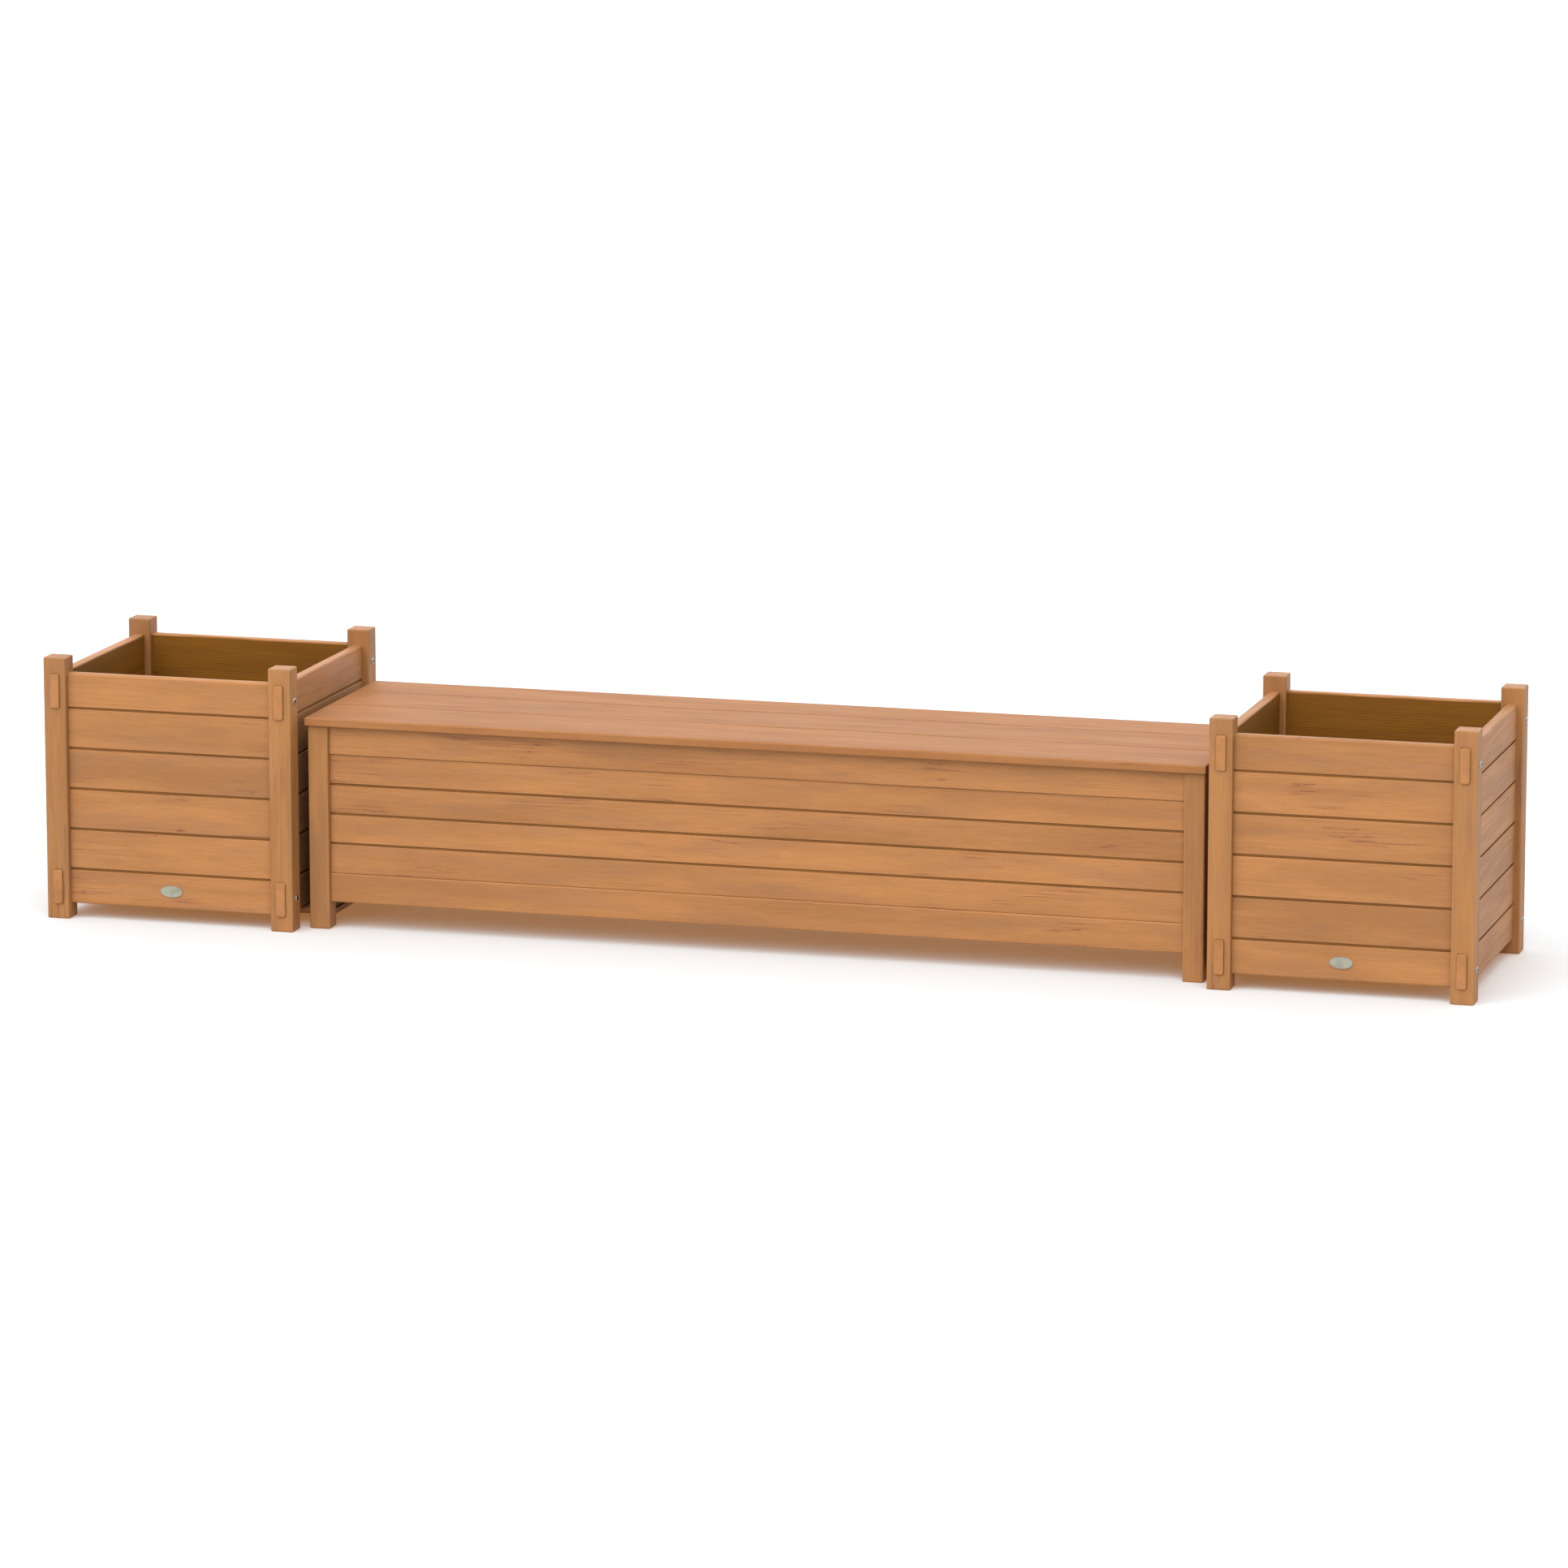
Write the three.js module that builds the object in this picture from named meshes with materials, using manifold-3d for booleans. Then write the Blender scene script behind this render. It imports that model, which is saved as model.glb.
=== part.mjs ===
// A bench with a planter at each end: two square planter boxes of horizontal boards between
// corner posts, and between them a storage bench with a lid hinged along its back.
// Millimetres, +X to the right along the bench, +Y to the back, +Z up.
// The origin is on the ground, under the middle of the whole piece.
import * as THREE from "three";
import { mergeVertices } from "three/addons/utils/BufferGeometryUtils.js";
import Module from "manifold-3d";

const wasm = await Module();
wasm.setup();

// Shared by all units
const fit = 0.3; // gap left where two pieces meet
const overrun = 6; // how far a cutting body runs past the face that it cuts
const unitGap = 19; // between a planter's posts and the bench's posts
const cornerSteps = 2; // straight steps in a rounded corner
const endSteps = 1; // rings in a rounded end
const endRoundShare = 0.7; // rounding of a bar's ends to that of its long edges
const roundSides = 12; // sides of pins, knuckles and drain holes
const badgeSteps = 20;

// Planter
const planterSide = 560; // outside its posts, the same both ways
const planterHeight = 570;
const planterPost = 50;
const postRound = 3.5;
const wallInset = 15; // wall's outer face behind the post's outer face
const wallThick = 22;
const wallClear = 32; // ground to the lowest board
const postAboveWall = 34; // post's top above the highest board
const wallRound = 4; // top and bottom edges of a wall
const edgeBoard = 76; // lowest and highest board
const middleBoards = 4; // share what is left between them
const grooveWidth = 4;
const grooveDepth = 3.5;
const tenonProud = 5; // through tenons stand out of the post
const tenonShoulder = 0.5; // tenon thinner than its board, each face
const tenonTrim = 1; // and lower, each edge
const tenonRound = 5;
const tenonEndRound = 1.8;

// Heads of the cross bolts that lock the tenons, joined to the posts' outer sides
const boltRadius = 7;
const boltProud = 3;
const boltRim = 0.8; // straight edge under the dome
const boltSunk = 1; // how far the head reaches into the post
const boltSides = 16;
const boltRings = 3; // steps of the dome

// Planter floor
const planterFloorLevel = 70; // underside of the floor board
const planterFloorThick = 18;
const planterCleat = 25; // square section
const drainRadius = 8;
const drainSpread = 240; // between drain holes

// Oval plate on the front wall's lowest board
const badgeWidth = 50;
const badgeHeight = 25;
const badgeThick = 2;

// Bench frame
const benchLength = 1960;
const benchDepth = 450;
const benchPost = 45;
const benchPostRound = 3.5;
const benchClear = 58; // ground to the bottom rail
const railHeight = 63;
const railThick = 22;
const railInset = 10; // behind the post's outer face
const railRound = 3;
const slatPitch = 64.5;
const slatCount = 4;
const slatThick = 18; // flush with the rails inside, so set back outside
const slatGrooveWidth = 3;
const slatGrooveDepth = 2.5;
const slatRound = 1;

// Bench floor
const bearerWidth = 40;
const bearerHeight = 22;
const bearerRise = 4; // above the bottom rail's lower edge
const bearerEndInset = 28; // from the end panel to the outer bearers
const plankThick = 15;
const plankGap = 4;
const plankSideGap = 15; // from the rails' inner faces to the outer planks
const plankCount = 4;
const plankRound = 2;

// Lid
const lidThick = 18;
const lidRound = 3;
const lidRest = 0.5; // gap under the closed lid
const lidOverFront = 12;
const lidOverEnd = 3.5;
const lidBackInset = 1.5; // rear edge in front of the posts' back faces
const lidFrontBoard = 170;
const lidMiddleBoard = 158;
const lidBoardGap = 2;
const battenWidth = 60;
const battenThick = 20;
const battenFrontClear = 5; // from the front rail's inner face
const battenBackClear = 23; // from the back rail's inner face
const battenEndInset = 180; // from the lid's end to the batten's middle
const battenRound = 2;

// Hinges
const hingeEndInset = 230; // from the bench's end to the outer hinges' middle
const leafLength = 76;
const leafThick = 2.5;
const leafInset = 2; // leaf's front edge behind the rail's inner face
const knuckleRadius = 4;
const knuckleGap = 0.4;
const pinRadius = 2;
const pinPlay = 0.25;
const pinEnd = 1.5; // pin beyond the knuckles
const axisBehind = 4.5; // pin's axis behind the posts' back faces
const leafSetback = 0.5; // leaf plate to the other leaf's knuckles

// Link boards under the walls, from each planter to the bench
const linkThick = 12;
const linkLap = 5; // past the end panel's inner face
const linkPostGap = 6; // behind the bench posts

// Worked out from the sizes above
const wallHeight = planterHeight - wallClear - postAboveWall;
const boardPitch = (wallHeight - 2 * edgeBoard) / middleBoards;
const wallCentre = planterSide / 2 - wallInset - wallThick / 2;
const wallInner = planterSide / 2 - wallInset - wallThick;
const planterPostCentre = planterSide / 2 - planterPost / 2;
const planterX = benchLength / 2 + unitGap + planterSide / 2;
const seatUnder = benchClear + 2 * railHeight + slatCount * slatPitch;
const railCentre = benchDepth / 2 - railInset - railThick / 2;
const railInner = benchDepth / 2 - railInset - railThick;
const slatCentre = railInner + slatThick / 2;
const endCentre = benchLength / 2 - railInset - railThick / 2;
const endInner = benchLength / 2 - railInset - railThick;
const benchPostX = benchLength / 2 - benchPost / 2;
const benchPostY = benchDepth / 2 - benchPost / 2;
const lidUnder = seatUnder + lidRest;
const lidFront = -benchDepth / 2 - lidOverFront;
const lidBack = benchDepth / 2 - lidBackInset;
const lidLength = benchLength + 2 * lidOverEnd;
const axisY = benchDepth / 2 + axisBehind;
const axisZ = seatUnder + lidRest / 2;

// Finishes
const boardWood = new THREE.MeshStandardMaterial({ color: 0xc68f5c, roughness: 0.62 });
const postWood = new THREE.MeshStandardMaterial({ color: 0xbd8755, roughness: 0.6 });
const lidWood = new THREE.MeshStandardMaterial({ color: 0xd49c78, roughness: 0.58 });
const innerWood = new THREE.MeshStandardMaterial({ color: 0x8a6236, roughness: 0.75 });
const hingeSteel = new THREE.MeshStandardMaterial({ color: 0xb6babd, roughness: 0.35, metalness: 1 });
const plateMetal = new THREE.MeshStandardMaterial({ color: 0xbdbda4, roughness: 0.45, metalness: 0.4 });

// Directions that a section drawn in X and Y, and drawn out along Z, is laid in
const alongX = new THREE.Matrix4().makeBasis(
  new THREE.Vector3(0, 1, 0),
  new THREE.Vector3(0, 0, 1),
  new THREE.Vector3(1, 0, 0),
);
const alongY = new THREE.Matrix4().makeBasis(
  new THREE.Vector3(-1, 0, 0),
  new THREE.Vector3(0, 0, 1),
  new THREE.Vector3(0, 1, 0),
);
const facingFront = new THREE.Matrix4().makeBasis(
  new THREE.Vector3(1, 0, 0),
  new THREE.Vector3(0, 0, 1),
  new THREE.Vector3(0, -1, 0),
);

// A rectangle about the middle, its four corners rounded.
function roundedRectangle(width, height, radius) {
  const x = width / 2 - radius;
  const y = height / 2 - radius;
  const shape = new THREE.Shape();
  shape.absarc(x, y, radius, 0, Math.PI / 2);
  shape.absarc(-x, y, radius, Math.PI / 2, Math.PI);
  shape.absarc(-x, -y, radius, Math.PI, 1.5 * Math.PI);
  shape.absarc(x, -y, radius, 1.5 * Math.PI, 2 * Math.PI);
  return shape;
}

// Draws a section out, half its length to either side of the middle.
function drawnOut(shape, length, steps = cornerSteps) {
  const geometry = new THREE.ExtrudeGeometry(shape, {
    depth: length,
    bevelEnabled: false,
    curveSegments: steps,
  });
  return geometry.translate(0, 0, -length / 2);
}

// A bar with rounded long edges and rounded ends.
function roundedBar(width, height, length, radius, endRadius = endRoundShare * radius) {
  const geometry = new THREE.ExtrudeGeometry(roundedRectangle(width, height, radius), {
    depth: length - 2 * endRadius,
    bevelEnabled: true,
    bevelThickness: endRadius,
    bevelSize: endRadius,
    bevelOffset: -endRadius,
    bevelSegments: endSteps,
    curveSegments: cornerSteps,
  });
  return geometry.translate(0, 0, endRadius - length / 2);
}

// The section of boards edge to edge, from the lowest up, with a groove on both faces at each joint.
function boardedSection(thick, heights, groove, depth, radius) {
  const total = heights.reduce((sum, height) => sum + height, 0);
  const joints = [];
  let level = 0;
  for (const height of heights.slice(0, -1)) {
    level += height;
    joints.push(level);
  }
  const half = thick / 2;
  const shape = new THREE.Shape();
  shape.absarc(half - radius, radius, radius, 1.5 * Math.PI, 2 * Math.PI);
  for (const joint of joints) {
    shape.lineTo(half, joint - groove / 2);
    shape.lineTo(half - depth, joint);
    shape.lineTo(half, joint + groove / 2);
  }
  shape.absarc(half - radius, total - radius, radius, 0, Math.PI / 2);
  shape.absarc(radius - half, total - radius, radius, Math.PI / 2, Math.PI);
  for (const joint of joints.reverse()) {
    shape.lineTo(-half, joint + groove / 2);
    shape.lineTo(depth - half, joint);
    shape.lineTo(-half, joint - groove / 2);
  }
  shape.absarc(radius - half, radius, radius, Math.PI, 1.5 * Math.PI);
  return shape;
}

// A geometry as a solid that can be joined and cut, and back.
function solidFrom(geometry) {
  const bare = geometry.clone();
  bare.deleteAttribute("normal");
  bare.deleteAttribute("uv");
  const merged = mergeVertices(bare);
  return new wasm.Manifold(
    new wasm.Mesh({
      numProp: 3,
      vertProperties: merged.attributes.position.array,
      triVerts: new Uint32Array(merged.index.array),
    }),
  );
}

function geometryFrom(solid) {
  const mesh = solid.getMesh();
  const geometry = new THREE.BufferGeometry();
  geometry.setAttribute("position", new THREE.BufferAttribute(mesh.vertProperties, 3));
  geometry.setIndex(new THREE.BufferAttribute(mesh.triVerts, 1));
  const faceted = geometry.toNonIndexed();
  faceted.computeVertexNormals();
  return faceted;
}

function joined(first, ...others) {
  return geometryFrom(others.reduce((sum, other) => sum.add(solidFrom(other)), solidFrom(first)));
}

function cut(first, ...others) {
  const left = others.reduce((rest, other) => rest.subtract(solidFrom(other)), solidFrom(first));
  return geometryFrom(left);
}

function named(name, geometry, material, x = 0, y = 0, z = 0) {
  const mesh = new THREE.Mesh(geometry, material);
  mesh.name = name;
  mesh.position.set(x, y, z);
  return mesh;
}

const sides = [
  ["left", -1],
  ["right", 1],
];
const faces = [
  ["front", -1],
  ["back", 1],
];

// Planter pieces, about the middle of the planter's footprint
const tenonHeight = edgeBoard - 2 * tenonTrim;
const tenonThick = wallThick - 2 * tenonShoulder;
const tenonLevels = [wallClear + edgeBoard / 2, wallClear + wallHeight - edgeBoard / 2];
const wallBoards = [edgeBoard, ...Array(middleBoards).fill(boardPitch), edgeBoard];
const wallSection = boardedSection(wallThick, wallBoards, grooveWidth, grooveDepth, wallRound);
const wallLength = planterSide - 2 * planterPost - 2 * fit;

// A domed bolt head on a face at x = 0 that looks to the given side.
function boltHead(side) {
  const outline = [new THREE.Vector2(0, -boltSunk), new THREE.Vector2(boltRadius, -boltSunk)];
  for (let i = 0; i < boltRings; i++) {
    const angle = (i / boltRings) * (Math.PI / 2);
    const level = boltRim + (boltProud - boltRim) * Math.sin(angle);
    outline.push(new THREE.Vector2(boltRadius * Math.cos(angle), level));
  }
  outline.push(new THREE.Vector2(0, boltProud));
  return new THREE.LatheGeometry(outline, boltSides).rotateZ((-side * Math.PI) / 2);
}

// A corner post with the two mortises that the side wall's tenons go through, and its bolt heads.
function cornerPost(sx, sy) {
  const post = roundedBar(planterPost, planterPost, planterHeight, postRound);
  const offset = wallCentre - planterPostCentre;
  const mortises = tenonLevels.map((level) => {
    const hole = drawnOut(
      roundedRectangle(tenonThick + 2 * fit, tenonHeight + 2 * fit, tenonRound + fit),
      planterPost + 2 * overrun,
    );
    hole.applyMatrix4(alongY);
    return hole.translate(sx * offset, 0, level - planterHeight / 2);
  });
  const heads = tenonLevels.map((level) =>
    boltHead(sx).translate((sx * planterPost) / 2, sy * offset, level - planterHeight / 2),
  );
  return joined(cut(post, ...mortises), ...heads);
}

// A wall between two posts, front to back, with through tenons on its lowest and highest boards.
function sideWall() {
  const panel = drawnOut(wallSection, wallLength).applyMatrix4(alongY);
  const tenons = tenonLevels.map((level) => {
    const length = planterSide + 2 * tenonProud;
    const tenon = roundedBar(tenonThick, tenonHeight, length, tenonRound, tenonEndRound);
    return tenon.applyMatrix4(alongY).translate(0, 0, level - wallClear);
  });
  return joined(panel, ...tenons);
}

// The floor board, cut out round the four posts, with drain holes.
function planterFloor() {
  const wide = wallInner - fit;
  const narrow = planterPostCentre - planterPost / 2 - fit;
  const shape = new THREE.Shape();
  shape.moveTo(wide, -narrow);
  shape.lineTo(wide, narrow);
  shape.lineTo(narrow, narrow);
  shape.lineTo(narrow, wide);
  shape.lineTo(-narrow, wide);
  shape.lineTo(-narrow, narrow);
  shape.lineTo(-wide, narrow);
  shape.lineTo(-wide, -narrow);
  shape.lineTo(-narrow, -narrow);
  shape.lineTo(-narrow, -wide);
  shape.lineTo(narrow, -wide);
  shape.lineTo(narrow, -narrow);
  for (const x of [-drainSpread / 2, drainSpread / 2])
    for (const y of [-drainSpread / 2, drainSpread / 2])
      shape.holes.push(new THREE.Path().absarc(x, y, drainRadius, 0, 2 * Math.PI, true));
  return drawnOut(shape, planterFloorThick, roundSides);
}

function ovalPlate() {
  const shape = new THREE.Shape();
  shape.absellipse(0, 0, badgeWidth / 2, badgeHeight / 2, 0, 2 * Math.PI);
  return drawnOut(shape, badgeThick, badgeSteps).applyMatrix4(facingFront);
}

const postGeometry = {};
for (const [side, sx] of sides)
  for (const [face, sy] of faces) postGeometry[`${face}_${side}`] = cornerPost(sx, sy);
const sideWallGeometry = sideWall();
const faceWallGeometry = drawnOut(wallSection, wallLength).applyMatrix4(alongX);
const planterFloorGeometry = planterFloor();
const planterCleatLength = 2 * (planterPostCentre - planterPost / 2 - fit);
const planterCleatGeometry = new THREE.BoxGeometry(planterCleat, planterCleatLength, planterCleat);
const badgeGeometry = ovalPlate();

function planter(unit, x) {
  const box = new THREE.Group();
  box.position.x = x;
  for (const [side, sx] of sides)
    for (const [face, sy] of faces)
      box.add(
        named(
          `${unit}_post_${face}_${side}`,
          postGeometry[`${face}_${side}`],
          postWood,
          sx * planterPostCentre,
          sy * planterPostCentre,
          planterHeight / 2,
        ),
      );
  for (const [side, sx] of sides) {
    box.add(
      named(`${unit}_wall_${side}`, sideWallGeometry, boardWood, sx * wallCentre, 0, wallClear),
      named(
        `${unit}_floor_cleat_${side}`,
        planterCleatGeometry,
        innerWood,
        sx * (wallInner - fit - planterCleat / 2),
        0,
        planterFloorLevel - fit - planterCleat / 2,
      ),
    );
  }
  for (const [face, sy] of faces)
    box.add(named(`${unit}_wall_${face}`, faceWallGeometry, boardWood, 0, sy * wallCentre, wallClear));
  box.add(
    named(
      `${unit}_floor`,
      planterFloorGeometry,
      innerWood,
      0,
      0,
      planterFloorLevel + planterFloorThick / 2,
    ),
    named(
      `${unit}_plate`,
      badgeGeometry,
      plateMetal,
      0,
      wallInset - planterSide / 2 - fit - badgeThick / 2,
      wallClear + edgeBoard / 2,
    ),
  );
  return box;
}

// Hinge, about the middle of its pin's axis, with the lid closed
const knuckleLength = leafLength / 3;
const plateFront = railInner + leafInset - axisY;
const plateBack = -knuckleRadius - leafSetback;

// A round bar along the pin's axis.
function alongPin(radius, length, x = 0) {
  const rod = new THREE.CylinderGeometry(radius, radius, length, roundSides);
  return rod.rotateZ(Math.PI / 2).translate(x, 0, 0);
}

// One leaf: its plate, the straps that reach the axis, and its knuckles with the pin's hole.
function hingeLeaf(plateLevel, knuckles) {
  const width = plateBack - plateFront;
  const plate = new THREE.BoxGeometry(leafLength, width, leafThick);
  plate.translate(0, plateFront + width / 2, plateLevel);
  const parts = knuckles.flatMap(([x, length]) => {
    const reach = -plateBack + leafThick;
    const strap = new THREE.BoxGeometry(length, reach, leafThick);
    strap.translate(x, -reach / 2, plateLevel);
    return [strap, alongPin(knuckleRadius, length, x)];
  });
  const leaf = joined(plate, ...parts);
  return cut(leaf, alongPin(pinRadius + pinPlay, leafLength + 2 * overrun));
}

const outerKnuckle = knuckleLength - knuckleGap / 2;
const frameLeafGeometry = hingeLeaf(-lidRest / 2 - leafThick / 2, [
  [-knuckleLength - knuckleGap / 4, outerKnuckle],
  [knuckleLength + knuckleGap / 4, outerKnuckle],
]);
const lidLeafGeometry = hingeLeaf(lidRest / 2 + leafThick / 2, [[0, knuckleLength - knuckleGap]]);
const pinGeometry = alongPin(pinRadius, leafLength + 2 * pinEnd);
const outerHinge = benchLength / 2 - hingeEndInset;
const hingePlaces = [
  ["left", -outerHinge],
  ["middle", 0],
  ["right", outerHinge],
];

// The pockets that the hinges' leaves lie in, cut out of a board whose middle is at y.
function leafPockets(y, halfDepth, level) {
  const front = railInner + leafInset - fit;
  const back = y + halfDepth + overrun;
  const depth = leafThick + fit;
  return hingePlaces.map(([, x]) => {
    const pocket = new THREE.BoxGeometry(leafLength + 2 * fit, back - front, 2 * depth);
    return pocket.translate(x, (front + back) / 2 - y, level);
  });
}

// Bench frame
const railLength = benchLength - 2 * benchPost - 2 * fit;
const slatHeights = Array(slatCount).fill(slatPitch);
slatHeights[0] -= fit;
slatHeights[slatCount - 1] -= fit;
const endBoards = [
  benchClear + railHeight - wallClear,
  ...Array(slatCount).fill(slatPitch),
  railHeight,
];
const railGeometry = roundedBar(railThick, railHeight, railLength, railRound).applyMatrix4(alongX);
const hingeRailGeometry = cut(railGeometry, ...leafPockets(railCentre, railThick / 2, railHeight / 2));
const slatPanelGeometry = drawnOut(
  boardedSection(slatThick, slatHeights, slatGrooveWidth, slatGrooveDepth, slatRound),
  railLength,
).applyMatrix4(alongX);
const endPanelGeometry = drawnOut(
  boardedSection(railThick, endBoards, slatGrooveWidth, slatGrooveDepth, railRound),
  benchDepth - 2 * benchPost - 2 * fit,
).applyMatrix4(alongY);
const benchPostGeometry = roundedBar(benchPost, benchPost, seatUnder, benchPostRound);

function benchFrame() {
  const frame = new THREE.Group();
  for (const [side, sx] of sides)
    for (const [face, sy] of faces)
      frame.add(
        named(
          `bench_post_${face}_${side}`,
          benchPostGeometry,
          postWood,
          sx * benchPostX,
          sy * benchPostY,
          seatUnder / 2,
        ),
      );
  for (const [face, sy] of faces) {
    const topRail = face === "back" ? hingeRailGeometry : railGeometry;
    frame.add(
      named(
        `bench_bottom_rail_${face}`,
        railGeometry,
        boardWood,
        0,
        sy * railCentre,
        benchClear + railHeight / 2,
      ),
      named(
        `bench_slats_${face}`,
        slatPanelGeometry,
        boardWood,
        0,
        sy * slatCentre,
        benchClear + railHeight + fit,
      ),
      named(
        `bench_top_rail_${face}`,
        topRail,
        boardWood,
        0,
        sy * railCentre,
        seatUnder - railHeight / 2,
      ),
    );
  }
  for (const [side, sx] of sides)
    frame.add(named(`bench_end_${side}`, endPanelGeometry, boardWood, sx * endCentre, 0, wallClear));
  return frame;
}

function benchFloor() {
  const floor = new THREE.Group();
  const bearer = new THREE.BoxGeometry(bearerWidth, 2 * (railInner - fit), bearerHeight);
  const bearerX = endInner - bearerEndInset - bearerWidth / 2;
  const bearerZ = benchClear + bearerRise + bearerHeight / 2;
  for (const [place, x] of [["left", -bearerX], ["middle", 0], ["right", bearerX]])
    floor.add(named(`bench_floor_bearer_${place}`, bearer, innerWood, x, 0, bearerZ));
  const planksDepth = 2 * (railInner - plankSideGap);
  const pitch = (planksDepth + plankGap) / plankCount;
  const plank = roundedBar(pitch - plankGap, plankThick, 2 * (endInner - fit), plankRound);
  plank.applyMatrix4(alongX);
  for (let i = 0; i < plankCount; i++)
    floor.add(
      named(
        `bench_floor_plank_${i + 1}`,
        plank,
        innerWood,
        0,
        (i - (plankCount - 1) / 2) * pitch,
        bearerZ + bearerHeight / 2 + fit + plankThick / 2,
      ),
    );
  return floor;
}

// Lid boards from the front to the back, each as its name, front edge and width.
const lidMiddleFront = lidFront + lidFrontBoard + lidBoardGap;
const lidBackFront = lidMiddleFront + lidMiddleBoard + lidBoardGap;
const lidBoards = [
  ["front", lidFront, lidFrontBoard],
  ["middle", lidMiddleFront, lidMiddleBoard],
  ["back", lidBackFront, lidBack - lidBackFront],
];

function lid() {
  const panel = new THREE.Group();
  for (const [place, front, width] of lidBoards) {
    const y = front + width / 2;
    const board = roundedBar(width, lidThick, lidLength, lidRound).applyMatrix4(alongX);
    const geometry = place === "back" ? cut(board, ...leafPockets(y, width / 2, -lidThick / 2)) : board;
    panel.add(named(`lid_board_${place}`, geometry, lidWood, 0, y, lidUnder + lidThick / 2));
  }
  const battenFront = battenFrontClear - railInner;
  const battenBack = railInner - battenBackClear;
  const length = battenBack - battenFront;
  const batten = roundedBar(battenWidth, battenThick, length, battenRound).applyMatrix4(alongY);
  const battenX = lidLength / 2 - battenEndInset;
  for (const [place, x] of [["left", -battenX], ["middle", 0], ["right", battenX]])
    panel.add(
      named(
        `lid_batten_${place}`,
        batten,
        innerWood,
        x,
        (battenFront + battenBack) / 2,
        lidUnder - fit - battenThick / 2,
      ),
    );
  return panel;
}

function hinges() {
  const set = new THREE.Group();
  for (const [place, x] of hingePlaces)
    set.add(
      named(`hinge_frame_leaf_${place}`, frameLeafGeometry, hingeSteel, x, axisY, axisZ),
      named(`hinge_lid_leaf_${place}`, lidLeafGeometry, hingeSteel, x, axisY, axisZ),
      named(`hinge_pin_${place}`, pinGeometry, hingeSteel, x, axisY, axisZ),
    );
  return set;
}

// Boards under the walls that tie each planter to the bench's end.
function links() {
  const set = new THREE.Group();
  const outer = planterX - wallInner;
  const inner = endInner - linkLap;
  const depth = 2 * (benchDepth / 2 - benchPost - linkPostGap);
  const board = new THREE.BoxGeometry(outer - inner, depth, linkThick);
  for (const [side, sx] of sides)
    set.add(
      named(
        `link_board_${side}`,
        board,
        innerWood,
        (sx * (outer + inner)) / 2,
        0,
        wallClear - fit - linkThick / 2,
      ),
    );
  return set;
}

const group = new THREE.Group();
group.add(
  planter("left_planter", -planterX),
  planter("right_planter", planterX),
  benchFrame(),
  benchFloor(),
  lid(),
  hinges(),
  links(),
);

export default group;
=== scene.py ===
# Bench with a planter at each end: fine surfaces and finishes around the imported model, in metres
import math

import bpy
import numpy as np
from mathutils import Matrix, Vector


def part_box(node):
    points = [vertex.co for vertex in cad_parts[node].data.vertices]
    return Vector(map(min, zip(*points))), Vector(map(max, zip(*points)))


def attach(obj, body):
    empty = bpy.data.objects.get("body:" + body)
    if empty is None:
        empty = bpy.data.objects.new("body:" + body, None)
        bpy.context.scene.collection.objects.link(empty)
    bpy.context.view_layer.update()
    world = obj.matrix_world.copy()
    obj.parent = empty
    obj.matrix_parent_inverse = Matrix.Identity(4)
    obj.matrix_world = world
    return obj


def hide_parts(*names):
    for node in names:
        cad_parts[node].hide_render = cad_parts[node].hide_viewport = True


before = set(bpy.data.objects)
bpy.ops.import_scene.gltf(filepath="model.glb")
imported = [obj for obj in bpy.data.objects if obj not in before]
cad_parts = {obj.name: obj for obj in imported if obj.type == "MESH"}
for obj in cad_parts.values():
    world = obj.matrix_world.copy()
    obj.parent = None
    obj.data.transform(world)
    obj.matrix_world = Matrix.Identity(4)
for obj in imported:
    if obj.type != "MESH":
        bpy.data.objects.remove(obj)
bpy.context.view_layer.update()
rng = np.random.default_rng(417)
scene = bpy.context.scene
print("frame loaded:", len(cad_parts), "nodes")

# Words in the CAD nodes' names, some with the sign of the direction that they stand for
sides = (("left", -1), ("right", 1))
faces = (("front", -1), ("back", 1))
places = ("left", "middle", "right")
units = ("left_planter", "right_planter")

# Camera, light and floor

view = {
    "place": (4.332, -15.043, 3.398),
    "aim": (0.0244, -0.0424, 0.3343),
    "lens": 172.2,  # millimetres, as the sensor's width is
    "sensor": 36.0,
    "far": 400.0,
}
sky = {"colour": (1.0, 1.0, 1.0, 1.0), "strength": 1.25}
windows = {  # wide soft lights: strength, degrees across, and the direction that each comes from
    "key": (2.84, 70.0, (-0.06, -0.52, 0.6)),
    "rear": (0.75, 60.0, (0.1, 1.0, 0.4)),
}
ground = {
    "size": 160.0,
    "drop": 0.0002,  # its depth below the feet
    "colour": (0.438, 0.545, 0.603, 1.0),
    "roughness": 0.9,
    "shine": 0.1,
    "glow": (0.27, 0.118, 0.038, 1.0),  # painted light: the floor's own warm glow, which lightens and warms its shadows
    "glowStrength": 1.0,
}


def setCamera():
    data = bpy.data.cameras.new("photoCamera")
    data.lens = view["lens"]
    data.sensor_width = view["sensor"]
    data.clip_end = view["far"]
    camera = bpy.data.objects.new("photoCamera", data)
    camera.location = view["place"]
    towards = Vector(view["aim"]) - Vector(view["place"])
    camera.rotation_euler = towards.to_track_quat("-Z", "Y").to_euler()
    scene.collection.objects.link(camera)
    scene.camera = camera


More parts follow.
